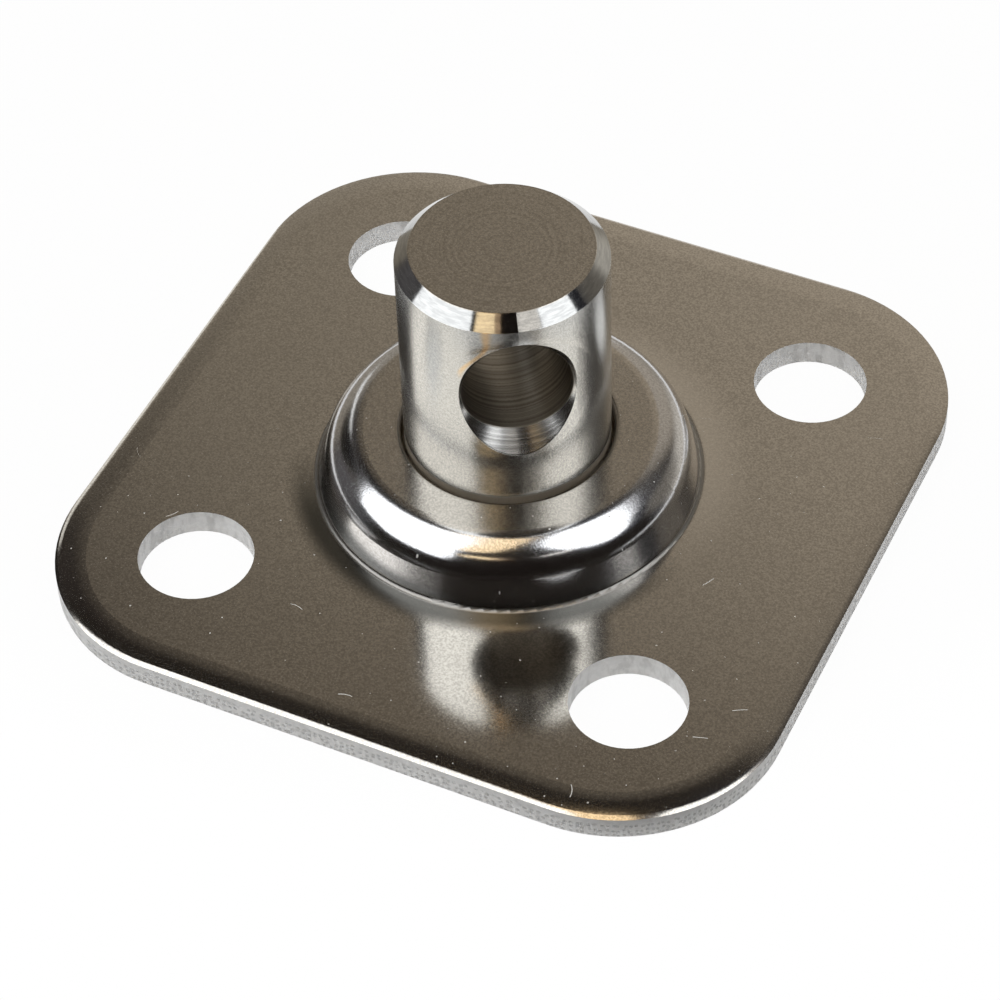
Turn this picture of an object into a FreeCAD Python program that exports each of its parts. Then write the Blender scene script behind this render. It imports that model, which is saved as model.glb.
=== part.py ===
import FreeCAD, Part
import Sketcher
import math
import os
from types import SimpleNamespace

# Swivel base for a deck: a plate pressed from sheet, and the cross-bored post that turns in its dome.
# The underside of the plate is z = 0, the post turns about Z, and the plate's sides lie along X and Y.
# Lengths are millimetres and angles are degrees.

SIZES = {
    "plate_side": 44.0,
    "plate_corner": 9.6,
    "sheet_gauge": 1.6,
    "fixing_pitch": 27.0,
    "fixing_diameter": 6.7,
    "roll_width": 1.5,
    "roll_radius": 9.0,
    "lip_width": 0.3,
    "lip_radius": 2.0,
    "dome_height": 5.25,
    "dome_land": 1.9,
    "dome_shoulder": 2.4,
    "dome_wall": 1.3,
    "dome_draft": 15.0,
    "dome_foot": 0.25,
    "punch_round": 0.25,
    "post_diameter": 12.0,
    "post_height": 19.1,
    "post_chamfer": 0.8,
    "post_gap": 0.2,
    "post_heading": 56.6,
    "neck_round": 0.15,
    "flange_inset": 0.3,
    "flange_top_gap": 0.2,
    "flange_deck_gap": 0.15,
    "flange_chamfer": 0.4,
    "bore_diameter": 6.3,
    "bore_below_top": 6.05,
    "bore_mouth": 1.15,
}
size = SimpleNamespace(**SIZES)

# How far a cutting profile reaches past the metal that it cuts
OVERSHOOT = 1.0

# How far the revolved dome runs into the flat plate before the two meet
SEAM_MARGIN = 1.2

FULL_TURN = 360.0
PLATE_CORNERS = 4

# Numbers that the sketcher gives to a curve's own points, and to a sketch's origin and axes
START, END, CENTRE = range(1, 4)
ORIGIN = (-1, START)
H_AXIS, V_AXIS = range(-1, -3, -1)

# Radius of the post's hole in the dome, as a formula of the sheet's cells
POST_HOLE = "Sizes.post_diameter / 2 + Sizes.post_gap"


def new_sheet(document):
    """The spreadsheet of driving sizes, with a name, a number and an alias on each row."""
    sheet = document.addObject("Spreadsheet::Sheet", "Sizes")
    for row, (name, value) in enumerate(SIZES.items(), start=1):
        sheet.set(f"A{row}", name)
        sheet.set(f"B{row}", str(value))
        sheet.setAlias(f"B{row}", name)
    document.recompute()


def point(x, y):
    return FreeCAD.Vector(x, y, 0)


def origin_feature(body, role):
    """One of the body's own origin planes or axes."""
    return [feature for feature in body.Origin.OriginFeatures if feature.Role == role][0]


def new_sketch(body, name, role):
    """An empty sketch on one of the body's own origin planes."""
    sketch = body.newObject("Sketcher::SketchObject", name)
    sketch.AttachmentSupport = [(origin_feature(body, role), "")]
    sketch.MapMode = "FlatFace"
    return sketch


def add_line(sketch, start, end):
    return sketch.addGeometry(Part.LineSegment(start, end), False)


def add_arc(sketch, centre, radius, start, end):
    """An arc that turns anticlockwise from one direction to another."""
    circle = Part.Circle(centre, FreeCAD.Vector(0, 0, 1), radius)
    return sketch.addGeometry(Part.ArcOfCircle(circle, start, end), False)


def relate(sketch, kind, *where):
    return sketch.addConstraint(Sketcher.Constraint(kind, *where))


def join(sketch, kind, first, second, place):
    """Join two curves, by position or as tangents, at the ends that lie at a place."""
    ends = []
    for curve in (first, second):
        nearest = min((START, END), key=lambda end: (sketch.getPoint(curve, end) - place).Length)
        ends += [curve, nearest]
    relate(sketch, kind, *ends)


def value_as_drawn(sketch, kind, where):
    """The value that a dimension has before the sheet drives it."""
    curve = sketch.Geometry[where[0]]
    if kind == "Radius":
        return curve.Radius
    if kind == "Angle":
        run = curve.EndPoint - curve.StartPoint
        return math.atan2(run.y, run.x)
    if kind == "Distance":
        line = sketch.Geometry[where[2]]
        return sketch.getPoint(*where[:2]).distanceToLine(line.StartPoint, line.EndPoint - line.StartPoint)
    span = sketch.getPoint(*where[2:]) - sketch.getPoint(*where[:2])
    return span.x if kind == "DistanceX" else span.y


def dimension(sketch, name, formula, kind, *where):
    """Add a named dimension that a formula of the sheet's cells drives."""
    value = value_as_drawn(sketch, kind, where)
    number = relate(sketch, kind, *where, value)
    sketch.renameConstraint(number, name)
    sketch.setExpression("Constraints." + name, formula)


def reference(sketch, name, kind, *where):
    """Add a named dimension that only reads a size, for other sketches to follow."""
    number = relate(sketch, kind, *where, value_as_drawn(sketch, kind, where))
    sketch.setDriving(number, False)
    sketch.renameConstraint(number, name)


def rounding(before, corner, after, radius):
    """Centre, first tangent point and last tangent point of the arc that rounds a corner."""
    back = (before - corner).normalize()
    ahead = (after - corner).normalize()
    half_angle = back.getAngle(ahead) / 2
    reach = radius / math.tan(half_angle)
    centre = corner + (back + ahead).normalize() * (radius / math.sin(half_angle))
    return centre, corner + back * reach, corner + ahead * reach


def add_bend(sketch, centre, first, last):
    """The short arc about a centre between two tangent points."""
    start = math.atan2(first.y - centre.y, first.x - centre.x)
    end = math.atan2(last.y - centre.y, last.x - centre.x)
    if (end - start) % (2 * math.pi) > math.pi:
        start, end = end, start
    return add_arc(sketch, centre, (first - centre).Length, start, end)


def draw_loop(sketch, corners):
    """Draw a closed loop through corners of (place, radius), and join its sides and bends.

    Gives the number of the side that leaves each corner, and of the bend at each rounded corner.
    """
    count = len(corners)
    rounds = []
    for index, (corner, radius) in enumerate(corners):
        before = corners[index - 1][0]
        after = corners[(index + 1) % count][0]
        rounds.append(rounding(before, corner, after, radius) if radius else (None, corner, corner))
    sides = []
    for index in range(count):
        sides.append(add_line(sketch, rounds[index][2], rounds[(index + 1) % count][1]))
    bends = {}
    for index, (centre, first, last) in enumerate(rounds):
        if centre is None:
            join(sketch, "Coincident", sides[index - 1], sides[index], first)
            continue
        bends[index] = add_bend(sketch, centre, first, last)
        join(sketch, "Tangent", sides[index - 1], bends[index], first)
        join(sketch, "Tangent", bends[index], sides[index], last)
    return sides, bends


def draw_plate_outline(sketch):
    """The plate's rounded square, centred on the origin."""
    half = size.plate_side / 2
    places = [point(half, -half), point(half, half), point(-half, half), point(-half, -half)]
    sides, bends = draw_loop(sketch, [(place, size.plate_corner) for place in places])
    right, top, left, bottom = sides
    relate(sketch, "Horizontal", top)
    relate(sketch, "Vertical", left)
    relate(sketch, "Symmetric", right, START, right, END, H_AXIS)
    relate(sketch, "Symmetric", bottom, START, bottom, END, V_AXIS)
    for index in range(1, PLATE_CORNERS):
        relate(sketch, "Equal", bends[0], bends[index])
    dimension(sketch, "corner", "Sizes.plate_corner", "Radius", bends[0])
    dimension(sketch, "length", "Sizes.plate_side", "DistanceX", left, START, right, START)
    dimension(sketch, "width", "Sizes.plate_side", "DistanceY", bottom, START, top, START)


def draw_circle(sketch, place, radius, formulas):
    """A circle whose radius and place the formulas drive: radius, then x and y where it is off centre."""
    circle = sketch.addGeometry(Part.Circle(place, FreeCAD.Vector(0, 0, 1), radius), False)
    dimension(sketch, "radius", formulas[0], "Radius", circle)
    if len(formulas) == 1:
        relate(sketch, "Coincident", circle, CENTRE, *ORIGIN)
        return
    dimension(sketch, "across", formulas[1], "DistanceX", *ORIGIN, circle, CENTRE)
    dimension(sketch, "along", formulas[2], "DistanceY", *ORIGIN, circle, CENTRE)


def draw_dome_section(sketch):
    """Half the dome's section: the sheet from the rim of the post's hole out to the flat plate."""
    hole = size.post_diameter / 2 + size.post_gap
    ceiling = size.dome_height - size.sheet_gauge
    draft = math.radians(size.dome_draft)
    half_bend = (math.pi / 2 - draft) / 2
    shoulder = hole + size.punch_round + size.dome_land + size.dome_shoulder * math.tan(half_bend)
    foot = shoulder + ceiling * math.tan(draft)
    mouth = foot + (size.sheet_gauge * math.sin(draft) - size.dome_wall) / math.cos(draft)
    throat = mouth - ceiling * math.tan(draft)
    root = foot + size.dome_foot * math.tan(half_bend) + SEAM_MARGIN
    sides, bends = draw_loop(sketch, [
        (point(root, 0), 0),
        (point(root, size.sheet_gauge), 0),
        (point(foot, size.sheet_gauge), size.dome_foot),
        (point(shoulder, size.dome_height), size.dome_shoulder),
        (point(hole, size.dome_height), size.punch_round),
        (point(hole, ceiling), 0),
        (point(throat, ceiling), size.dome_shoulder - size.dome_wall),
        (point(mouth, 0), size.dome_foot + size.dome_wall),
    ])
    edge, plate_top, wall, land, rim, roof, lining, plate_bottom = sides
    for side in (edge, rim):
        relate(sketch, "Vertical", side)
    for side in (plate_top, land, roof, plate_bottom):
        relate(sketch, "Horizontal", side)
    relate(sketch, "PointOnObject", edge, START, H_AXIS)
    relate(sketch, "Parallel", wall, lining)
    dimension(sketch, "gauge", "Sizes.sheet_gauge", "DistanceY", edge, START, edge, END)
    dimension(sketch, "roof_gauge", "Sizes.sheet_gauge", "DistanceY", rim, END, land, END)
    dimension(sketch, "height", "Sizes.dome_height", "DistanceY", *ORIGIN, land, END)
    dimension(sketch, "hole", POST_HOLE, "DistanceX", *ORIGIN, rim, END)
    dimension(sketch, "land", "Sizes.dome_land", "DistanceX", land, END, land, START)
    dimension(sketch, "margin", str(SEAM_MARGIN), "DistanceX", plate_top, END, plate_top, START)
    dimension(sketch, "wall", "Sizes.dome_wall", "Distance", lining, START, wall)
    dimension(sketch, "draft", "90 + Sizes.dome_draft", "Angle", wall)
    dimension(sketch, "foot", "Sizes.dome_foot", "Radius", bends[2])
    dimension(sketch, "shoulder", "Sizes.dome_shoulder", "Radius", bends[3])
    dimension(sketch, "rim_round", "Sizes.punch_round", "Radius", bends[4])
    dimension(sketch, "throat", "Sizes.dome_shoulder - Sizes.dome_wall", "Radius", bends[6])
    dimension(sketch, "mouth", "Sizes.dome_foot + Sizes.dome_wall", "Radius", bends[7])
    reference(sketch, "root", "DistanceX", *ORIGIN, edge, START)


def draw_roll_section(sketch):
    """What the die's roll-over, and the steeper lip outside it, take off the plate's upper edge."""
    upright = math.pi / 2
    edge = size.plate_side / 2
    roll = edge - size.lip_width - size.roll_width
    roll_lean = math.asin(size.roll_width / size.roll_radius)
    lip_lean = math.asin(size.roll_width / size.roll_radius + size.lip_width / size.lip_radius)
    roll_centre = point(roll, size.sheet_gauge - size.roll_radius)
    shared_normal = point(math.sin(roll_lean), math.cos(roll_lean))
    lip_centre = roll_centre + shared_normal * (size.roll_radius - size.lip_radius)
    lip_arc = add_arc(sketch, lip_centre, size.lip_radius, upright - lip_lean, upright - roll_lean)
    roll_arc = add_arc(sketch, roll_centre, size.roll_radius, upright - roll_lean, upright)
    lip_end = sketch.getPoint(lip_arc, START)
    roll_end = sketch.getPoint(roll_arc, END)
    outside = [
        lip_end,
        point(edge + OVERSHOOT, lip_end.y),
        point(edge + OVERSHOOT, size.sheet_gauge + OVERSHOOT),
        point(roll, size.sheet_gauge + OVERSHOOT),
        roll_end,
    ]
    floor, side, roof, back = [add_line(sketch, *ends) for ends in zip(outside, outside[1:])]
    relate(sketch, "Tangent", lip_arc, END, roll_arc, START)
    chain = [lip_arc, floor, side, roof, back, roll_arc]
    for first, second, place in zip(chain, chain[1:], outside):
        join(sketch, "Coincident", first, second, place)
    for line in (floor, roof):
        relate(sketch, "Horizontal", line)
    for line in (side, back):
        relate(sketch, "Vertical", line)
    relate(sketch, "Vertical", roll_arc, CENTRE, roll_arc, END)
    dimension(sketch, "roll", "Sizes.roll_radius", "Radius", roll_arc)
    dimension(sketch, "lip", "Sizes.lip_radius", "Radius", lip_arc)
    dimension(sketch, "top", "Sizes.sheet_gauge", "DistanceY", *ORIGIN, roll_arc, END)
    dimension(sketch, "edge", "Sizes.plate_side / 2", "DistanceX", *ORIGIN, lip_arc, START)
    dimension(sketch, "roll_width", "Sizes.roll_width", "DistanceX", roll_arc, END, roll_arc, START)
    dimension(sketch, "lip_width", "Sizes.lip_width", "DistanceX", lip_arc, END, lip_arc, START)
    dimension(sketch, "clear_side", str(OVERSHOOT), "DistanceX", floor, START, floor, END)
    dimension(sketch, "clear_top", str(OVERSHOOT), "DistanceY", back, END, back, START)


def draw_post_section(sketch):
    """Half the turned post's section: the foot flange that the dome holds down, and the shaft."""
    bottom = size.flange_deck_gap
    flange_top = size.dome_height - size.sheet_gauge - size.flange_top_gap
    flange = size.post_diameter / 2 + size.post_gap + size.punch_round + size.dome_land - size.flange_inset
    flange_flat = flange - size.flange_chamfer
    shaft = size.post_diameter / 2
    sides, bends = draw_loop(sketch, [
        (point(0, bottom), 0),
        (point(flange_flat, bottom), 0),
        (point(flange, bottom + size.flange_chamfer), 0),
        (point(flange, flange_top - size.flange_chamfer), 0),
        (point(flange_flat, flange_top), 0),
        (point(shaft, flange_top), size.neck_round),
        (point(shaft, size.post_height - size.post_chamfer), 0),
        (point(shaft - size.post_chamfer, size.post_height), 0),
        (point(0, size.post_height), 0),
    ])
    base, low_chamfer, flange_rim, high_chamfer, flange_face, shaft_side = sides[:6]
    crown_chamfer, crown, axis = sides[6:]
    for line in (base, flange_face, crown):
        relate(sketch, "Horizontal", line)
    for line in (flange_rim, shaft_side, axis):
        relate(sketch, "Vertical", line)
    relate(sketch, "PointOnObject", axis, START, V_AXIS)
    flange_formula = f"{POST_HOLE} + Sizes.punch_round + Sizes.dome_land - Sizes.flange_inset"
    flange_top_formula = "Sizes.dome_height - Sizes.sheet_gauge - Sizes.flange_top_gap"
    dimension(sketch, "bottom", "Sizes.flange_deck_gap", "DistanceY", *ORIGIN, base, START)
    dimension(sketch, "flange_top", flange_top_formula, "DistanceY", *ORIGIN, flange_face, START)
    dimension(sketch, "top", "Sizes.post_height", "DistanceY", *ORIGIN, crown, START)
    dimension(sketch, "flange", flange_formula, "DistanceX", *ORIGIN, flange_rim, START)
    dimension(sketch, "shaft", "Sizes.post_diameter / 2", "DistanceX", *ORIGIN, shaft_side, END)
    dimension(sketch, "neck", "Sizes.neck_round", "Radius", bends[5])
    chamfers = {
        "low": (low_chamfer, "Sizes.flange_chamfer"),
        "high": (high_chamfer, "Sizes.flange_chamfer"),
        "crown": (crown_chamfer, "Sizes.post_chamfer"),
    }
    for name, (line, formula) in chamfers.items():
        inner, outer = (START, END) if name == "low" else (END, START)
        dimension(sketch, name + "_across", formula, "DistanceX", line, inner, line, outer)
        dimension(sketch, name + "_along", formula, "DistanceY", line, START, line, END)


def draw_bore_section(sketch):
    """Half the cross bore's section about its own axis, with a countersunk mouth at each end."""
    bore = size.bore_diameter / 2
    mouth = size.post_diameter / 2 - size.bore_mouth
    flare = size.bore_mouth + OVERSHOOT
    sides, _ = draw_loop(sketch, [
        (point(-mouth - flare, 0), 0),
        (point(mouth + flare, 0), 0),
        (point(mouth + flare, bore + flare), 0),
        (point(mouth, bore), 0),
        (point(-mouth, bore), 0),
        (point(-mouth - flare, bore + flare), 0),
    ])
    axis, right_end, right_cone, wall, left_cone, left_end = sides
    relate(sketch, "Symmetric", axis, START, axis, END, *ORIGIN)
    relate(sketch, "Symmetric", wall, START, wall, END, V_AXIS)
    relate(sketch, "PointOnObject", axis, START, H_AXIS)
    relate(sketch, "Vertical", right_end)
    relate(sketch, "Vertical", left_end)
    relate(sketch, "Equal", right_end, left_end)
    mouth_formula = "Sizes.post_diameter / 2 - Sizes.bore_mouth"
    flare_formula = f"Sizes.bore_mouth + {OVERSHOOT}"
    dimension(sketch, "bore", "Sizes.bore_diameter / 2", "DistanceY", *ORIGIN, wall, START)
    dimension(sketch, "mouth", mouth_formula, "DistanceX", *ORIGIN, wall, START)
    dimension(sketch, "flare_across", flare_formula, "DistanceX", right_cone, END, right_cone, START)
    dimension(sketch, "flare_along", flare_formula, "DistanceY", right_cone, END, right_cone, START)


def build_base_plate(document):
    """The pressed plate: flat sheet, dome, four fixing holes and the rolled upper edge."""
    body = document.addObject("PartDesign::Body", "base_plate")
    dome_section = new_sketch(body, "dome_section", "XZ_Plane")
    draw_dome_section(dome_section)
    document.recompute()

    outline = new_sketch(body, "plate_outline", "XY_Plane")
    draw_plate_outline(outline)
    root = dome_section.getDatum("root").Value
    draw_circle(outline, point(0, 0), root, ["dome_section.Constraints.root"])
    plate = body.newObject("PartDesign::Pad", "flat_plate")
    plate.Profile = outline
    plate.setExpression("Length", "Sizes.sheet_gauge")

    dome = body.newObject("PartDesign::Revolution", "pressed_dome")
    dome.Profile = dome_section
    dome.ReferenceAxis = (dome_section, ["V_Axis"])
    dome.Angle = FULL_TURN
    document.recompute()

    hole_sketch = new_sketch(body, "fixing_hole_outline", "XY_Plane")
    half_pitch = size.fixing_pitch / 2
    half_pitch_formula = "Sizes.fixing_pitch / 2"
    hole_formulas = ["Sizes.fixing_diameter / 2", half_pitch_formula, half_pitch_formula]
    draw_circle(hole_sketch, point(half_pitch, half_pitch), size.fixing_diameter / 2, hole_formulas)
    hole = body.newObject("PartDesign::Pocket", "fixing_hole")
    hole.Profile = hole_sketch
    hole.Type = "ThroughAll"
    hole.Reversed = True
    document.recompute()
    holes = body.newObject("PartDesign::PolarPattern", "fixing_holes")
    holes.Originals = [hole]
    holes.Axis = (origin_feature(body, "Z_Axis"), [""])
    holes.Angle = FULL_TURN
    holes.Occurrences = PLATE_CORNERS
    body.Tip = holes
    document.recompute()

    roll_path = new_sketch(body, "edge_path", "XY_Plane")
    draw_plate_outline(roll_path)
    roll_section = new_sketch(body, "edge_section", "XZ_Plane")
    draw_roll_section(roll_section)
    document.recompute()
    roll = body.newObject("PartDesign::SubtractivePipe", "rolled_edge")
    roll.Profile = roll_section
    roll.Spine = roll_path
    body.Tip = roll
    document.recompute()
    return body


def build_swivel_post(document):
    """The turned post with its foot flange, cross-bored and countersunk on both sides."""
    body = document.addObject("PartDesign::Body", "swivel_post")
    section = new_sketch(body, "post_section", "XZ_Plane")
    draw_post_section(section)
    turned = body.newObject("PartDesign::Revolution", "turned_post")
    turned.Profile = section
    turned.ReferenceAxis = (section, ["V_Axis"])
    turned.Angle = FULL_TURN
    document.recompute()

    bore_sketch = new_sketch(body, "bore_section", "XZ_Plane")
    bore_sketch.setExpression("AttachmentOffset.Base.y", "Sizes.post_height - Sizes.bore_below_top")
    draw_bore_section(bore_sketch)
    document.recompute()
    bore = body.newObject("PartDesign::Groove", "cross_bore")
    bore.Profile = bore_sketch
    bore.ReferenceAxis = (bore_sketch, ["H_Axis"])
    bore.Angle = FULL_TURN
    document.recompute()

    body.Placement = FreeCAD.Placement(point(0, 0), FreeCAD.Vector(0, 0, 1), -size.post_heading)
    body.setExpression("Placement.Rotation.Angle", "-Sizes.post_heading")
    document.recompute()
    return body


def check(document, bodies):
    """Stop before anything is written if a feature failed or a solid isn't sound."""
    for item in document.Objects:
        if "Invalid" in item.State or "Error" in item.State:
            raise RuntimeError(f"{item.Name} failed: {item.State}")
    for body in bodies:
        if body.Shape.isNull() or not body.Shape.isValid() or len(body.Shape.Solids) != 1:
            raise RuntimeError(f"{body.Label} is not one sound solid")


def main():
    document = FreeCAD.newDocument("swivel_base")
    new_sheet(document)
    bodies = [build_base_plate(document), build_swivel_post(document)]
    check(document, bodies)
    os.makedirs("parts", exist_ok=True)
    for body in bodies:
        body.Shape.exportStep(f"parts/{body.Label}.step")
        print(body.Label, round(body.Shape.Volume, 2), body.Shape.BoundBox)


main()
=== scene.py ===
import math

import bpy
from mathutils import Matrix, Vector

# A swivel base of polished stainless steel on a white floor, under two softboxes.
# Lengths are metres, but the materials are drawn in millimetres and the studio in degrees.

MM = 0.001


def rgb(red, green, blue):
    return (red, green, blue, 1.0)


# Where the photograph was taken from, about the middle of the plate
CAMERA_AZIMUTH = math.radians(26.47)
CAMERA_ELEVATION = math.radians(46.93)
CAMERA_ROLL = math.radians(-2.05)
CAMERA_DISTANCE = 214.5 * MM
CAMERA_TARGET = Vector((-0.039, -1.263, 0.0)) * MM
CAMERA_LENS = 132.03
CAMERA_SENSOR = 36.0
CAMERA_CLIP_START = 10 * MM
CAMERA_CLIP_END = 10.0

# The studio's own directions: to the camera's right, away from it, and up
RIGHT = Vector((math.cos(CAMERA_AZIMUTH), math.sin(CAMERA_AZIMUTH), 0))
AHEAD = Vector((-math.sin(CAMERA_AZIMUTH), math.cos(CAMERA_AZIMUTH), 0))
UP = Vector((0, 0, 1))

# The floor is a white disc just under the plate, set back from the camera. Camera and steel see it as
# pure white by a share, which rises to 1 between two distances from its middle.
FLOOR_RADIUS = 50 * MM
FLOOR_OFFSET = 22 * MM
FLOOR_DROP = 0.02 * MM
FLOOR_PAINT = rgb(0.9, 0.9, 0.9)
FLOOR_WHITENESS = 0.96
FLOOR_FADE_START = 0.78 * FLOOR_RADIUS
FLOOR_FADE_END = 0.98 * FLOOR_RADIUS

# The studio is drawn on a shell that only lights the steel and shows in it
STUDIO_RADIUS = 900 * MM
STUDIO_LIGHT = 2.8

# The walls' colours, from the camera's side of the studio (0), over the zenith and the sides (0.5),
# to the far side (1)
WALL_STOPS = [
    (0.00, rgb(0.0045, 0.0035, 0.003)),
    (0.40, rgb(0.006, 0.005, 0.004)),
    (0.50, rgb(0.032, 0.032, 0.033)),
    (0.72, rgb(0.030, 0.027, 0.024)),
    (0.78, rgb(0.048, 0.042, 0.034)),
    (0.81, rgb(0.059, 0.051, 0.041)),
    (0.84, rgb(0.088, 0.078, 0.064)),
    (0.88, rgb(0.099, 0.088, 0.072)),
    (1.00, rgb(0.137, 0.125, 0.107)),
]

# Soft patches on the walls: middle in degrees off the zenith, inner and outer reach in degrees,
# share of the wall's colour that they cover, their own colour
WALL_PATCHES = [
    ((80, 50), 8, 34, 0.8, rgb(0.270, 0.255, 0.228)),
    ((72, 14), 4, 22, 0.8, rgb(0.075, 0.068, 0.058)),
    ((24, 54), 10, 28, 0.8, rgb(0.160, 0.142, 0.118)),
    ((-27, 36), 9, 22, 0.9, rgb(0.008, 0.007, 0.007)),
    ((-18, 25), 5, 14, 0.9, rgb(0.007, 0.006, 0.005)),
    ((-5, 21), 5, 14, 0.9, rgb(0.007, 0.006, 0.005)),
    ((7, 21), 5, 13, 0.9, rgb(0.007, 0.006, 0.005)),
    ((-72, 34), 6, 22, 0.9, rgb(0.042, 0.040, 0.041)),
    ((-44, 46), 5, 16, 0.9, rgb(0.0015, 0.0015, 0.0015)),
    ((15, 79), 2, 7, 0.9, rgb(0.330, 0.320, 0.310)),
]

# Flat cards, by their corners in degrees off the zenith
PALE_STRIPE = [(-32, 46), (-27.5, 46), (-23.5, 67), (-31, 67)]
DARK_FRAME = [
    (6, 20), (12, 26), (24, 21), (68, -1), (72, -20), (67, -30), (56, -46), (38, -44), (7, -5),
]
FRAME_SHEEN = [(19, 18), (26, 20), (55, -4), (52, -10)]
GOLD_REFLECTOR = [
    (1.5, 20.5), (-4, 20.5), (-12, 12), (-24, -27), (-14, -27.5), (-6.5, -25.5), (1, -10.5), (4, 4),
]
GOLD_STRIP = [(-25, -36.5), (-24.5, -41.5), (-8.5, -45.5), (-8.5, -41)]
BROWN_STRIP = [(-8.5, -41), (-8.5, -45.5), (-3.5, -46.5), (-3.5, -42.5)]
GREY_STRIP = [(14.5, -40.5), (14.5, -44), (31, -39), (30, -35.5)]
LEFT_CLOTH = [
    (-6, 12.5), (-15, 20.5), (-28, 26.5), (-76, 2), (-68, -20),
    (-55, -58), (-33, -45), (-21, -25), (-10, -5), (-8, 5),
]
RIGHT_CLOTH = [
    (8.5, 14), (21, 17.5), (59.5, -18), (61, -26), (56, -36), (42, -40),
    (33, -37), (24, -34), (16, -27), (10, -17), (8, -3),
]

# The cards with their colours, the nearer ones last
CLOTH_WHITE = rgb(0.72, 0.735, 0.75)
CARDS = [
    (PALE_STRIPE, rgb(0.36, 0.36, 0.35)),
    (DARK_FRAME, rgb(0.012, 0.012, 0.014)),
    (GOLD_REFLECTOR, rgb(0.54, 0.41, 0.25)),
    (GOLD_STRIP, rgb(0.66, 0.51, 0.31)),
    (BROWN_STRIP, rgb(0.23, 0.16, 0.10)),
    (GREY_STRIP, rgb(0.48, 0.46, 0.43)),
    (FRAME_SHEEN, rgb(0.20, 0.20, 0.205)),
    (LEFT_CLOTH, CLOTH_WHITE),
    (RIGHT_CLOTH, CLOTH_WHITE),
]

# Sine of the angle, to either side of a card's edge, over which the edge fades
CARD_SOFTNESS = 0.012

# Sizes of the object that the materials follow, in millimetres
PLATE_TOP = 1.6
LAND_HEIGHT = 5.25
DOME_FOOT = 11.36
HOLE_PLACE = 13.5
HOLE_RADIUS = 3.35
POST_RADIUS = 6.0
POST_TOP = 19.1
CHAMFER_FOOT = 18.3
CROWN_RADIUS = 5.2
BORE_RADIUS = 3.15
BORE_MOUTH_RADIUS = 4.3
BORE_HEIGHT = 13.05
BORE_BEARING = math.radians(-56.6)
BORE_AXIS = (math.cos(BORE_BEARING), math.sin(BORE_BEARING), 0.0)

# The grain that sheet and bar share: cells to a millimetre, and where its dark and light begin
GRAIN_SCALE = 8.5
GRAIN_DARK = 0.30
GRAIN_LIGHT = 0.70

# Steel of the pressed sheet: dark and light of its grain
FLAT_STEEL = (rgb(0.46, 0.428, 0.387), rgb(0.76, 0.718, 0.655))
DOME_STEEL = (rgb(0.56, 0.555, 0.56), rgb(0.74, 0.74, 0.75))
CUT_STEEL = (rgb(0.60, 0.60, 0.60), rgb(0.88, 0.88, 0.875))

# What lies over the sheet's steel: strength, colour. Round the dome's foot, the shade toward the camera,
# the highlight to its right and the crease's shade are painted shade and light
CLOUD = (0.5, rgb(0.61, 0.575, 0.53))
LAND_SHADE = (0.3, rgb(0.42, 0.385, 0.34))
# Painted shade round the dome's foot, toward the camera
FOOT_APRON_SHADE = (0.92, rgb(0.10, 0.10, 0.09))
# Painted highlight round the dome's foot, to the camera's right
APRON_HIGHLIGHT = (0.5, rgb(0.92, 0.88, 0.82))
# Painted shade in the crease at the dome's foot
FOOT_CREASE_SHADE = (0.8, rgb(0.22, 0.215, 0.205))
GAP_SHADE = (0.4, rgb(0.10, 0.095, 0.085))
PIT_SHADE = (0.42, rgb(0.24, 0.24, 0.24))
STREAK_SHADE = (0.35, rgb(0.34, 0.335, 0.33))
DUST = rgb(0.66, 0.65, 0.63)

# Noise that the sheet is drawn with, in cells to a millimetre
CLOUD_SCALE = 0.12
TORN_SCALE = 2.2
STREAK_SCALE = (1.6, 1.6, 0.8)

# Torn pits on the sheared edge: cells to a millimetre, how far they stray from their rows, and the
# height where they end
PIT_SCALE = 2.6
PIT_STRAY = 0.6
PIT_TOP = 1.1

# Roughness of the pressed sheet
FLAT_ROUGHNESS = 0.105
DOME_ROUGHNESS = 0.145
LAND_ROUGHNESS = 0.21
APRON_SHADE_ROUGHNESS = 0.22
FOOT_ROUGHNESS = 0.32
CUT_ROUGHNESS = 0.6
DUST_ROUGHNESS = 0.8
SHEET_ROUGHNESS_SWING = 0.06

# Relief of the pressed sheet, in millimetres
FLAT_RELIEF = 0.0006
DOME_RELIEF = 0.0020
CUT_RELIEF = 0.05
PIT_RELIEF = -0.04

# Round the dome's foot, painted shade lies toward the camera, and a painted highlight lies to the
# camera's right
APRON_SHADE_REACH = 1.9
APRON_SHADE_TURN = math.radians(25)
APRON_SHADE_SIDE = -AHEAD * math.cos(APRON_SHADE_TURN) - RIGHT * math.sin(APRON_SHADE_TURN)
APRON_HIGHLIGHT_REACH = 3.2
APRON_HIGHLIGHT_TURN = math.radians(20)
APRON_HIGHLIGHT_SIDE = AHEAD * math.sin(APRON_HIGHLIGHT_TURN) + RIGHT * math.cos(APRON_HIGHLIGHT_TURN)

# Dust lies on the front half, in specks and hairs: width of the cell that one lies in, size in
# millimetres, share of the cells that have one
SPECKS = {"cell": 1.3, "radius": 0.07, "share": 0.4}
HAIRS = {"cell": 5.0, "length": 0.45, "share": 0.3}
HAIR_WIDTH = 0.03
HAIR_OFFSET = 17.0
DUST_FADE = 6.0

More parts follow.
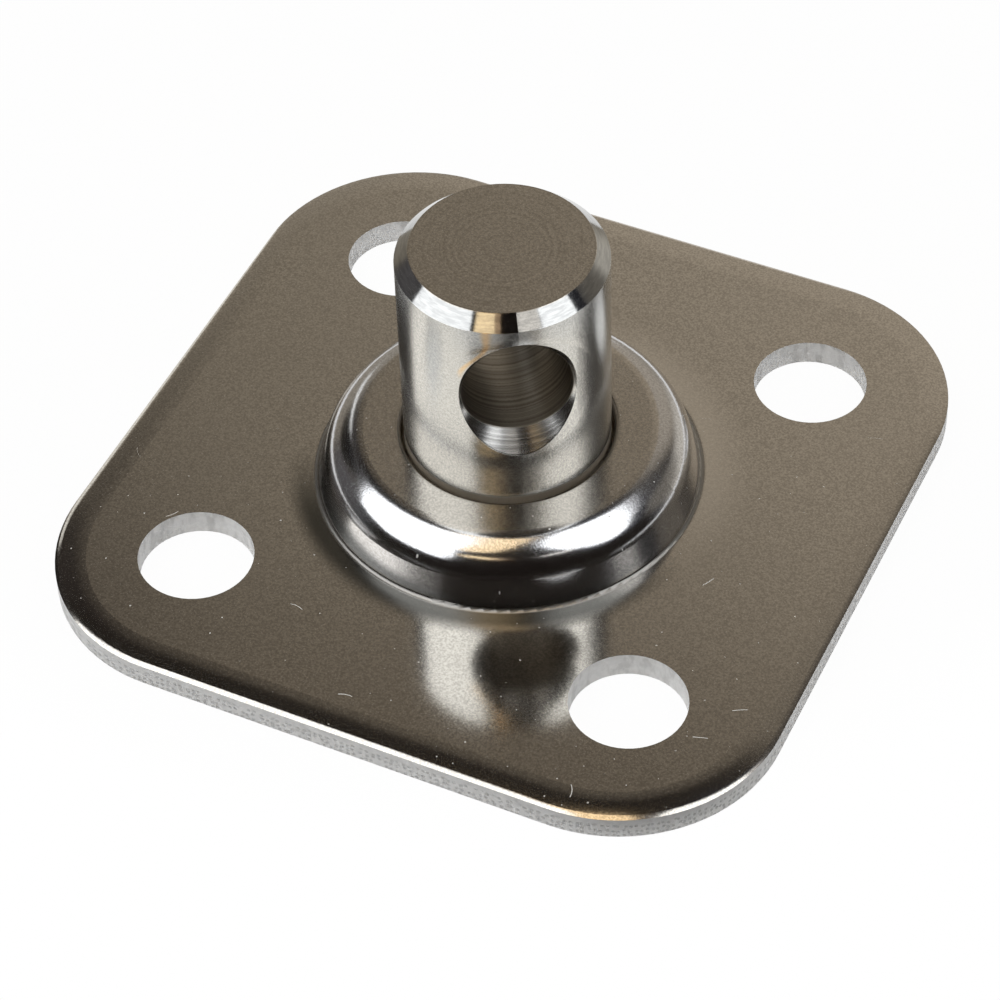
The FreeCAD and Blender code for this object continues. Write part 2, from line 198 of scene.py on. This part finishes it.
# Steel of the turned bar: dark and light of its grain or tool marks
SIDE_STEEL = (rgb(0.50, 0.505, 0.49), rgb(0.66, 0.66, 0.64))
CHAMFER_STEEL = (rgb(0.40, 0.40, 0.395), rgb(0.50, 0.50, 0.49))
CROWN_STEEL = (rgb(0.39, 0.36, 0.32), rgb(0.63, 0.59, 0.535))
BORE_STEEL = (rgb(0.26, 0.24, 0.21), rgb(0.46, 0.43, 0.385))
MOUTH_STEEL = (rgb(0.52, 0.51, 0.49), rgb(0.74, 0.73, 0.71))

# What lies over the bar's steel: strength, colour. The straw-coloured line is a painted reflection
SIDE_FOOT_SHADE = (0.3, rgb(0.26, 0.235, 0.20))
GREASE = (0.8, rgb(0.38, 0.31, 0.22))
# Painted reflection: a straw-coloured line on the post
STRAW_REFLECTION = (0.8, rgb(0.80, 0.58, 0.33))

# Tool marks, in marks to a millimetre, and how far the grain makes them wander, in millimetres
TURNING_MARKS = 7.0
CHAMFER_MARKS = (1.2, 1.2, 9.0)
CROWN_MARKS = 5.0
CROWN_WANDER = 0.25
BORE_MARKS = 5.0
BORE_WANDER = 0.12
MOUTH_MARKS = 7.0
MOUTH_WANDER = 0.10

# Roughness of the turned bar
SIDE_ROUGHNESS = 0.18
SIDE_ROUGHNESS_SWING = 0.10
CHAMFER_ROUGHNESS = 0.02
CHAMFER_ROUGHNESS_SWING = 0.14
CROWN_ROUGHNESS = 0.17
BORE_ROUGHNESS = 0.36
MOUTH_ROUGHNESS = 0.22
GREASE_ROUGHNESS = 0.45
GREASE_METALLIC = 0.3

# Relief of the turned bar, in millimetres
SIDE_RELIEF = 0.0008
CHAMFER_RELIEF = 0.0003
CROWN_RING_RELIEF = 0.0004
CROWN_GRAIN_RELIEF = 0.0006
BORE_RELIEF = 0.003
MOUTH_RELIEF = 0.002

# The side dips a little toward the bore's mouth
DISH_WIDTH = 0.5
DISH_RELIEF = -0.012

# A painted reflection, a straw-coloured line, runs down from the chamfer and round the left of the
# bore's mouth: the heights where it widens, bends and ends, its place and its bend to the camera's
# right, and its half widths
REFLECTION_LINE_FLARE = 16.8
REFLECTION_LINE_BEND = 17.4
REFLECTION_LINE_END = 14.7
REFLECTION_LINE_START = -1.06
REFLECTION_LINE_SWEEP = -1.5
REFLECTION_LINE_WIDTH = 0.24
REFLECTION_LINE_TOP_WIDTH = 0.5


class Drawing:
    """A material's node tree, and short calls for the nodes that it is drawn with."""

    def __init__(self, name):
        self.material = bpy.data.materials.new(name)
        self.material.use_nodes = True
        self.tree = self.material.node_tree
        self.tree.nodes.clear()

    def node(self, kind, inputs=(), **settings):
        """A new node with settings, and inputs by name or number: sockets are linked, values set."""
        made = self.tree.nodes.new("ShaderNode" + kind)
        for setting, value in settings.items():
            setattr(made, setting, value)
        for place, value in dict(inputs).items():
            if isinstance(value, bpy.types.NodeSocket):
                self.tree.links.new(value, made.inputs[place])
            else:
                made.inputs[place].default_value = value
        return made

    def math(self, operation, *values):
        return self.node("Math", enumerate(values), operation=operation).outputs[0]

    def vector(self, operation, *values):
        made = self.node("VectorMath", enumerate(values), operation=operation)
        return made.outputs["Value" if operation in ("DOT_PRODUCT", "LENGTH") else "Vector"]

    def rise(self, value, low, high):
        """0 below low, 1 above high, and a smooth step between. Low above high makes it fall."""
        inputs = {"Value": value, "From Min": low, "From Max": high}
        return self.node("MapRange", inputs, interpolation_type="SMOOTHSTEP").outputs["Result"]

    def slope(self, value, low, high):
        """0 below low, 1 above high, and a straight rise between. Low above high makes it fall."""
        inputs = {"Value": value, "From Min": low, "From Max": high}
        return self.node("MapRange", inputs).outputs["Result"]

    def band(self, value, start, full, fade, end):
        """1 from full to fade, and 0 before start and after end."""
        return self.product(self.rise(value, end, fade), self.rise(value, start, full))

    def product(self, *masks):
        result = masks[0]
        for mask in masks[1:]:
            result = self.math("MULTIPLY", result, mask)
        return result

    def rest(self, mask):
        """Where a mask is not."""
        return self.math("SUBTRACT", 1.0, mask)

    def blend(self, share, first, second):
        """A number that goes from first to second with share."""
        inputs = {"Factor": share, 2: first, 3: second}
        return self.node("Mix", inputs, data_type="FLOAT").outputs[0]

    def tint(self, share, first, second):
        """A colour that goes from first to second with share."""
        inputs = {0: share, 6: first, 7: second}
        return self.node("Mix", inputs, data_type="RGBA").outputs[2]

    def wash(self, colour, mask, strength, paint):
        """A colour with another over it where a mask is, at a strength."""
        return self.tint(self.math("MULTIPLY", mask, strength), colour, paint)

    def noise(self, place, scale, detail=2.0, dimensions="3D"):
        inputs = {"W" if dimensions == "1D" else "Vector": place, "Scale": scale, "Detail": detail}
        return self.node("TexNoise", inputs, noise_dimensions=dimensions).outputs["Fac"]

    def grain(self, place):
        """The steel's fine grain, and the same with all its contrast."""
        grain = self.noise(place, GRAIN_SCALE)
        return grain, self.rise(grain, GRAIN_DARK, GRAIN_LIGHT)

    def place(self):
        """The point on the object in millimetres."""
        coordinates = self.node("TexCoord").outputs["Object"]
        return self.vector("MULTIPLY", coordinates, (1 / MM, 1 / MM, 1 / MM))

    def parts(self, vector):
        return self.node("SeparateXYZ", {0: vector}).outputs[:]

    def off_axis(self, place):
        """The distance from the post's axis."""
        return self.vector("LENGTH", self.vector("MULTIPLY", place, (1, 1, 0)))

    def toward(self, place, side):
        """How far a point lies toward one side."""
        return self.vector("DOT_PRODUCT", place, tuple(side))

    def steepness(self):
        """How upright the surface is: 0 for level, 1 for a wall."""
        normal = self.parts(self.node("NewGeometry").outputs["Normal"])
        return self.rest(self.math("ABSOLUTE", normal[2]))

    def relief(self, height):
        """A bump whose height is in millimetres."""
        return self.node("Bump", {"Height": height, "Strength": 1.0, "Distance": MM}).outputs[0]

    def finish(self, shader):
        output = self.node("OutputMaterial", {"Surface": shader})
        output.is_active_output = True
        return self.material


def direction(across, ahead):
    """The direction at degrees off the zenith: to the camera's right, and away from the camera."""
    polar = math.radians(math.hypot(across, ahead))
    level = (RIGHT * across + AHEAD * ahead).normalized()
    return level * math.sin(polar) + UP * math.cos(polar)


def card(drawing, ray, corners):
    """Where a ray meets a flat card, whose corners are in degrees off the zenith."""
    corners = [direction(*corner) for corner in corners]
    middle = sum(corners, Vector()).normalized()
    masks = []
    for first, second in zip(corners, corners[1:] + corners[:1]):
        side = first.cross(second).normalized()
        if side.dot(middle) < 0:
            side.negate()
        depth = drawing.vector("DOT_PRODUCT", ray, tuple(side))
        masks.append(drawing.rise(depth, -CARD_SOFTNESS, CARD_SOFTNESS))
    return drawing.product(*masks)


def spot(drawing, ray, centre, inner, outer):
    """1 within an angle of a direction, falling to 0 at an outer angle."""
    nearness = drawing.vector("DOT_PRODUCT", ray, tuple(direction(*centre)))
    return drawing.rise(nearness, math.cos(math.radians(outer)), math.cos(math.radians(inner)))


def studio_material():
    """What the steel mirrors: grey-brown walls, two softboxes, a dark frame, and a gold reflector."""
    drawing = Drawing("studio_surroundings")
    ray = drawing.vector("NORMALIZE", drawing.node("TexCoord").outputs["Object"])
    depth = drawing.toward(ray, AHEAD)
    walls = drawing.node("ValToRGB", {"Fac": drawing.math("MULTIPLY_ADD", depth, 0.5, 0.5)})
    ramp = walls.color_ramp
    while len(ramp.elements) < len(WALL_STOPS):
        ramp.elements.new(1.0)
    for element, (position, colour) in zip(ramp.elements, WALL_STOPS):
        element.position = position
        element.color = colour
    colour = walls.outputs["Color"]
    for centre, inner, outer, share, paint in WALL_PATCHES:
        colour = drawing.wash(colour, spot(drawing, ray, centre, inner, outer), share, paint)
    for corners, paint in CARDS:
        colour = drawing.tint(card(drawing, ray, corners), colour, paint)
    shader = drawing.node("Emission", {"Color": colour, "Strength": STUDIO_LIGHT})
    return drawing.finish(shader.outputs[0])


def floor_material():
    """White to the camera and in the steel's reflections, with the object's shadow on it."""
    drawing = Drawing("white_floor")
    path = drawing.node("LightPath").outputs
    seen = drawing.math("MAXIMUM", path["Is Camera Ray"], path["Is Glossy Ray"])
    seen = drawing.math("MAXIMUM", seen, path["Is Transmission Ray"])
    paint = drawing.node("BsdfDiffuse", {"Color": FLOOR_PAINT}).outputs[0]
    white = drawing.node("Emission", {"Color": rgb(1, 1, 1), "Strength": 1.0}).outputs[0]
    distance = drawing.vector("LENGTH", drawing.node("TexCoord").outputs["Object"])
    backdrop = drawing.rise(distance, FLOOR_FADE_START, FLOOR_FADE_END)
    share = drawing.math("MULTIPLY", seen, drawing.blend(backdrop, FLOOR_WHITENESS, 1.0))
    return drawing.finish(drawing.node("MixShader", {0: share, 1: paint, 2: white}).outputs[0])


def level_cells(drawing, place, cell, offset):
    """Points scattered on a level surface: each one's chances, and the way from it, in millimetres."""
    shifted = drawing.vector("ADD", place, (offset, offset, 0))
    cells = drawing.node("TexVoronoi", {"Vector": shifted, "Scale": 1 / cell}, voronoi_dimensions="2D")
    way = drawing.vector("SUBTRACT", shifted, cells.outputs["Position"])
    return drawing.parts(cells.outputs["Color"]), drawing.parts(way)


def specks(drawing, place, cell, radius, share):
    """Dust specks of mixed size and brightness, one at most in each cell, in a share of the cells."""
    chance, way = level_cells(drawing, place, cell, 0)
    squares = drawing.math("ADD", drawing.product(way[0], way[0]), drawing.product(way[1], way[1]))
    distance = drawing.math("POWER", squares, 0.5)
    size = drawing.math("MULTIPLY", drawing.math("MULTIPLY_ADD", chance[1], 0.7, 0.3), radius)
    inside = drawing.rise(distance, size, drawing.math("MULTIPLY", size, 0.5))
    return drawing.product(inside, drawing.math("LESS_THAN", chance[0], share), chance[2])


def hairs(drawing, place, cell, length, share):
    """Short bent hairs, one at most in each cell, in a share of the cells."""
    chance, way = level_cells(drawing, place, cell, HAIR_OFFSET)
    turn = drawing.math("MULTIPLY", chance[1], 2 * math.pi)
    cosine = drawing.math("COSINE", turn)
    sine = drawing.math("SINE", turn)
    along = drawing.math("ADD", drawing.product(way[0], cosine), drawing.product(way[1], sine))
    across = drawing.math("SUBTRACT", drawing.product(way[1], cosine), drawing.product(way[0], sine))
    bend = drawing.product(along, along, drawing.math("SUBTRACT", chance[2], 0.5))
    off_hair = drawing.math("ABSOLUTE", drawing.math("SUBTRACT", across, bend))
    on_hair = drawing.rise(off_hair, HAIR_WIDTH, HAIR_WIDTH / 2)
    within = drawing.rise(drawing.math("ABSOLUTE", along), length, length * 0.8)
    return drawing.product(on_hair, within, drawing.math("LESS_THAN", chance[0], share))


def dust(drawing, place, z):
    """Specks and hairs on the sheet's upper side, fewer toward the back."""
    lying = drawing.math("MAXIMUM", specks(drawing, place, **SPECKS), hairs(drawing, place, **HAIRS))
    above = drawing.rise(z, PLATE_TOP - 0.25, PLATE_TOP - 0.05)
    in_front = drawing.rise(drawing.toward(place, AHEAD), DUST_FADE, -DUST_FADE)
    return drawing.product(lying, above, in_front)


def torn_pits(drawing, x, y, z, torn):
    """Small pits in rows along the lower part of the sheet's sheared edge."""
    round_edge = drawing.math("MULTIPLY_ADD", y, 0.8, x)
    unrolled = drawing.node("CombineXYZ", {"X": round_edge, "Y": z}).outputs[0]
    inputs = {"Vector": unrolled, "Scale": PIT_SCALE, "Randomness": PIT_STRAY}
    dots = drawing.node("TexVoronoi", inputs, voronoi_dimensions="2D").outputs["Distance"]
    lower_part = drawing.rise(z, PIT_TOP, PIT_TOP - 0.25)
    return drawing.product(drawing.rise(dots, 0.42, 0.12), lower_part, drawing.rise(torn, 0.25, 0.42))


def pressed_steel():
    """Polished sheet: a fine grain, a brighter dome, dust, grey sheared edges with torn pits, and
    painted shade and a painted highlight round the dome's foot.
    """
    drawing = Drawing("pressed_steel_sheet")
    place = drawing.place()
    x, y, z = drawing.parts(place)
    radius = drawing.off_axis(place)
    grain, sparkle = drawing.grain(place)
    torn = drawing.noise(place, TORN_SCALE, 3.0)

    # Zones of the sheet
    dome = drawing.rise(z, PLATE_TOP + 0.1, PLATE_TOP + 0.4)
    land = drawing.rise(z, LAND_HEIGHT - 0.05, LAND_HEIGHT - 0.01)
    outside_dome = drawing.rise(radius, DOME_FOOT, DOME_FOOT + 0.5)
    sheared = drawing.product(drawing.rise(drawing.steepness(), 0.45, 0.7), outside_dome)
    quarter = drawing.vector("MULTIPLY", drawing.vector("ABSOLUTE", place), (1, 1, 0))
    from_hole = drawing.vector("SUBTRACT", quarter, (HOLE_PLACE, HOLE_PLACE, 0))
    from_hole = drawing.vector("LENGTH", from_hole)
    outer_edge = drawing.rise(from_hole, HOLE_RADIUS + 0.2, HOLE_RADIUS + 0.5)
    # Painted shade round the dome's foot, strongest toward the camera
    apron_shade_facing = drawing.math("DIVIDE", drawing.toward(place, APRON_SHADE_SIDE), radius)
    apron_shade_mask = drawing.band(
        radius, DOME_FOOT - 0.1, DOME_FOOT + 0.1, DOME_FOOT + 0.6, DOME_FOOT + APRON_SHADE_REACH)
    apron_shade_mask = drawing.product(apron_shade_mask, drawing.rise(apron_shade_facing, 0.2, 0.7))
    # Painted highlight round the dome's foot, on the camera's right
    apron_highlight_facing = drawing.math("DIVIDE", drawing.toward(place, APRON_HIGHLIGHT_SIDE), radius)
    apron_highlight_mask = drawing.band(
        radius, DOME_FOOT, DOME_FOOT + 0.2, DOME_FOOT + 0.3, DOME_FOOT + APRON_HIGHLIGHT_REACH)
    apron_highlight_mask = drawing.product(apron_highlight_mask, drawing.rise(apron_highlight_facing, 0.35, 0.9))
    # Painted shade in the crease at the dome's foot, which is also rougher
    foot = drawing.band(radius, DOME_FOOT - 0.28, DOME_FOOT - 0.18, DOME_FOOT, DOME_FOOT + 0.08)
    gap_edge = drawing.product(drawing.rise(radius, POST_RADIUS + 0.65, POST_RADIUS + 0.3), dome)
    pits = drawing.product(torn_pits(drawing, x, y, z, torn), outer_edge)
    streaks = drawing.noise(drawing.vector("MULTIPLY", place, STREAK_SCALE), 1.0, 4.0)
    streaks = drawing.product(drawing.rise(streaks, 0.48, 0.62), drawing.rest(outer_edge))
    dirt = dust(drawing, place, z)

    steel = drawing.tint(sparkle, *FLAT_STEEL)
    steel = drawing.wash(steel, drawing.noise(place, CLOUD_SCALE), *CLOUD)
    shoulder = drawing.product(dome, drawing.rest(land))
    steel = drawing.tint(shoulder, steel, drawing.tint(sparkle, *DOME_STEEL))
    steel = drawing.wash(steel, land, *LAND_SHADE)
    # Painted shade round the dome's foot
    steel = drawing.wash(steel, apron_shade_mask, *FOOT_APRON_SHADE)
    # Painted highlight round the dome's foot
    steel = drawing.wash(steel, apron_highlight_mask, *APRON_HIGHLIGHT)
    # Painted shade in the foot's crease
    steel = drawing.wash(steel, foot, *FOOT_CREASE_SHADE)
    steel = drawing.wash(steel, gap_edge, *GAP_SHADE)
    cut = drawing.tint(torn, *CUT_STEEL)
    cut = drawing.wash(cut, pits, *PIT_SHADE)
    cut = drawing.wash(cut, streaks, *STREAK_SHADE)
    colour = drawing.tint(sheared, steel, cut)
    colour = drawing.tint(dirt, colour, DUST)

    raised = drawing.blend(land, DOME_ROUGHNESS, LAND_ROUGHNESS)
    roughness = drawing.blend(dome, FLAT_ROUGHNESS, raised)
    roughness = drawing.blend(apron_shade_mask, roughness, APRON_SHADE_ROUGHNESS)
    roughness = drawing.blend(foot, roughness, FOOT_ROUGHNESS)
    swing = drawing.math("SUBTRACT", grain, 0.5)
    roughness = drawing.math("MULTIPLY_ADD", swing, SHEET_ROUGHNESS_SWING, roughness)
    roughness = drawing.blend(sheared, roughness, CUT_ROUGHNESS)
    roughness = drawing.blend(dirt, roughness, DUST_ROUGHNESS)

    height = drawing.math("MULTIPLY", grain, drawing.blend(dome, FLAT_RELIEF, DOME_RELIEF))
    rough_cut = drawing.math("MULTIPLY", torn, CUT_RELIEF)
    rough_cut = drawing.math("MULTIPLY_ADD", pits, PIT_RELIEF, rough_cut)
    height = drawing.blend(sheared, height, rough_cut)
    shader = drawing.node("BsdfPrincipled", {
        "Base Color": colour,
        "Metallic": drawing.rest(drawing.math("MAXIMUM", dirt, sheared)),
        "Roughness": roughness,
        "Normal": drawing.relief(height),
    })
    return drawing.finish(shader.outputs[0])


def painted_reflection_line(drawing, place, z):
    """A painted reflection: a line down from the chamfer on the post's near side, that bends to the left
    of the bore.
    """
    course = drawing.rise(z, REFLECTION_LINE_BEND, REFLECTION_LINE_END)
    course = drawing.math("MULTIPLY_ADD", course, REFLECTION_LINE_SWEEP, REFLECTION_LINE_START)
    off_line = drawing.math("ABSOLUTE", drawing.math("SUBTRACT", drawing.toward(place, RIGHT), course))
    width = drawing.blend(drawing.rise(z, REFLECTION_LINE_FLARE, CHAMFER_FOOT), REFLECTION_LINE_WIDTH, REFLECTION_LINE_TOP_WIDTH)
    above_end = drawing.rise(z, REFLECTION_LINE_END - 0.4, REFLECTION_LINE_END + 0.7)
    near_side = drawing.rise(drawing.toward(place, AHEAD), 0.0, -1.0)
    return drawing.product(drawing.rise(off_line, width, 0.02), above_end, near_side)


def turned_steel():
    """Turned bar: a fine-grained crown, a bright chamfer, a satin side, drill rings in the bore, and a
    painted reflection line.
    """
    drawing = Drawing("turned_steel_bar")
    place = drawing.place()
    z = drawing.parts(place)[2]
    radius = drawing.off_axis(place)
    from_bore = drawing.vector("SUBTRACT", place, (0, 0, BORE_HEIGHT))
    along = drawing.vector("DOT_PRODUCT", from_bore, BORE_AXIS)
    reach = drawing.vector("LENGTH", drawing.vector("CROSS_PRODUCT", from_bore, BORE_AXIS))
    grain, sparkle = drawing.grain(place)

    # Zones of the bar
    chamfer = drawing.rise(z, CHAMFER_FOOT, CHAMFER_FOOT + 0.03)
    crown = drawing.rise(z, POST_TOP - 0.06, POST_TOP - 0.02)
    crown = drawing.product(crown, drawing.rise(radius, CROWN_RADIUS + 0.05, CROWN_RADIUS))
    inside = drawing.rise(radius, POST_RADIUS - 0.03, POST_RADIUS - 0.06)
    bore = drawing.product(drawing.rise(reach, BORE_MOUTH_RADIUS + 0.1, BORE_MOUTH_RADIUS), inside)
    mouth = drawing.product(bore, drawing.rise(reach, BORE_RADIUS + 0.01, BORE_RADIUS + 0.06))
    foot = drawing.rise(z, LAND_HEIGHT + 0.6, LAND_HEIGHT - 0.1)
    greased = drawing.rise(z, LAND_HEIGHT + 0.35, LAND_HEIGHT + 0.05)
    greased = drawing.product(greased, drawing.rise(radius, POST_RADIUS - 0.05, POST_RADIUS - 0.02))
    # A painted reflection, drawn as a straw-coloured line
    straw_reflection_mask = painted_reflection_line(drawing, place, z)

    # Tool marks: rings on the crown, in the bore and in its mouth, and lines round the side
    turning = drawing.noise(z, TURNING_MARKS, 3.0, "1D")
    streak = drawing.noise(drawing.vector("MULTIPLY", place, CHAMFER_MARKS), 1.0, 3.0)
    wander = drawing.math("MULTIPLY_ADD", grain, CROWN_WANDER, radius)
    rings = drawing.noise(wander, CROWN_MARKS, 4.0, "1D")
    wander = drawing.math("MULTIPLY_ADD", grain, BORE_WANDER, along)
    drill = drawing.noise(wander, BORE_MARKS, 4.0, "1D")
    wander = drawing.math("MULTIPLY_ADD", grain, MOUTH_WANDER, reach)
    tool = drawing.noise(wander, MOUTH_MARKS, 4.0, "1D")

    steel = drawing.tint(sparkle, *SIDE_STEEL)
    steel = drawing.wash(steel, foot, *SIDE_FOOT_SHADE)
    steel = drawing.wash(steel, greased, *GREASE)
    # Painted reflection line over the side
    steel = drawing.wash(steel, straw_reflection_mask, *STRAW_REFLECTION)
    bright = drawing.tint(drawing.rise(streak, 0.35, 0.65), *CHAMFER_STEEL)
    steel = drawing.tint(chamfer, steel, bright)
    face = drawing.math("MULTIPLY", sparkle, 0.7)
    face = drawing.math("MULTIPLY_ADD", drawing.rise(rings, 0.3, 0.7), 0.3, face)
    steel = drawing.tint(crown, steel, drawing.tint(face, *CROWN_STEEL))
    drilled = drawing.tint(drawing.rise(drill, 0.35, 0.65), *BORE_STEEL)
    steel = drawing.tint(bore, steel, drilled)
    cut = drawing.tint(drawing.rise(tool, 0.3, 0.7), *MOUTH_STEEL)
    steel = drawing.tint(mouth, steel, cut)

    roughness = drawing.math("MULTIPLY_ADD", grain, SIDE_ROUGHNESS_SWING, SIDE_ROUGHNESS)
    glossy = drawing.math("MULTIPLY_ADD", grain, CHAMFER_ROUGHNESS_SWING, CHAMFER_ROUGHNESS)
    roughness = drawing.blend(chamfer, roughness, glossy)
    roughness = drawing.blend(crown, roughness, CROWN_ROUGHNESS)
    roughness = drawing.blend(bore, roughness, BORE_ROUGHNESS)
    roughness = drawing.blend(mouth, roughness, MOUTH_ROUGHNESS)
    roughness = drawing.blend(greased, roughness, GREASE_ROUGHNESS)

    dish = drawing.slope(reach, BORE_MOUTH_RADIUS + DISH_WIDTH, BORE_MOUTH_RADIUS)
    height = drawing.math("MULTIPLY", turning, SIDE_RELIEF)
    height = drawing.math("MULTIPLY_ADD", grain, SIDE_RELIEF, height)
    height = drawing.math("MULTIPLY_ADD", drawing.product(dish, dish), DISH_RELIEF, height)
    height = drawing.blend(chamfer, height, drawing.math("MULTIPLY", grain, CHAMFER_RELIEF))
    ringed = drawing.math("MULTIPLY", grain, CROWN_GRAIN_RELIEF)
    ringed = drawing.math("MULTIPLY_ADD", rings, CROWN_RING_RELIEF, ringed)
    height = drawing.blend(crown, height, ringed)
    height = drawing.blend(bore, height, drawing.math("MULTIPLY", drill, BORE_RELIEF))
    height = drawing.blend(mouth, height, drawing.math("MULTIPLY", tool, MOUTH_RELIEF))
    shader = drawing.node("BsdfPrincipled", {
        "Base Color": steel,
        "Metallic": drawing.math("MULTIPLY_ADD", greased, GREASE_METALLIC - 1.0, 1.0),
        "Roughness": roughness,
        "Normal": drawing.relief(height),
    })
    return drawing.finish(shader.outputs[0])


def add_camera():
    """The camera at the photograph's place, with its slight roll."""
    level = math.cos(CAMERA_ELEVATION)
    offset = UP * math.sin(CAMERA_ELEVATION) - AHEAD * level
    place = CAMERA_TARGET + offset * CAMERA_DISTANCE
    forward = -offset
    right = forward.cross(UP).normalized()
    down = forward.cross(right)
    rolled_right = right * math.cos(CAMERA_ROLL) - down * math.sin(CAMERA_ROLL)
    rolled_down = right * math.sin(CAMERA_ROLL) + down * math.cos(CAMERA_ROLL)
    camera = bpy.data.objects.new("camera", bpy.data.cameras.new("camera"))
    camera.data.lens = CAMERA_LENS
    camera.data.sensor_width = CAMERA_SENSOR
    camera.data.clip_start = CAMERA_CLIP_START
    camera.data.clip_end = CAMERA_CLIP_END
    turn = Matrix((rolled_right, -rolled_down, -forward)).transposed()
    camera.matrix_world = Matrix.Translation(place) @ turn.to_4x4()
    bpy.context.scene.collection.objects.link(camera)
    bpy.context.scene.camera = camera


def add_studio():
    """A white floor, and round it a shell that carries the softboxes and walls, which no camera sees."""
    bpy.ops.mesh.primitive_circle_add(vertices=64, radius=FLOOR_RADIUS, fill_type="NGON")
    floor = bpy.context.object
    floor.name = "floor"
    floor.location = AHEAD * FLOOR_OFFSET - UP * FLOOR_DROP
    floor.data.materials.append(floor_material())

    bpy.ops.mesh.primitive_uv_sphere_add(segments=48, ring_count=24, radius=STUDIO_RADIUS)
    shell = bpy.context.object
    shell.name = "studio_shell"
    surroundings = studio_material()
    surroundings.cycles.emission_sampling = "NONE"
    shell.data.materials.append(surroundings)
    shell.visible_camera = False

    world = bpy.data.worlds.new("white")
    world.use_nodes = True
    world.node_tree.nodes["Background"].inputs["Color"].default_value = rgb(1, 1, 1)
    bpy.context.scene.world = world
    bpy.context.scene.view_settings.view_transform = "Standard"


def dress(node, material):
    """Give a solid its material."""
    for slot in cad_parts[node].material_slots:
        slot.material = material


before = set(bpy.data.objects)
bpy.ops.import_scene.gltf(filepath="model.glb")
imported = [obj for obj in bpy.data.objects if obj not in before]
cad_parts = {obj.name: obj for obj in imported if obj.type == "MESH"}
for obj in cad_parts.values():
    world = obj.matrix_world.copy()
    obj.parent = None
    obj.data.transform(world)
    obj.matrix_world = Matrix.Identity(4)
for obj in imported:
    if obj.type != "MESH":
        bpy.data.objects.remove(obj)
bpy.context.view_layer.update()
add_camera()
add_studio()
dress("base_plate", pressed_steel())
dress("swivel_post", turned_steel())
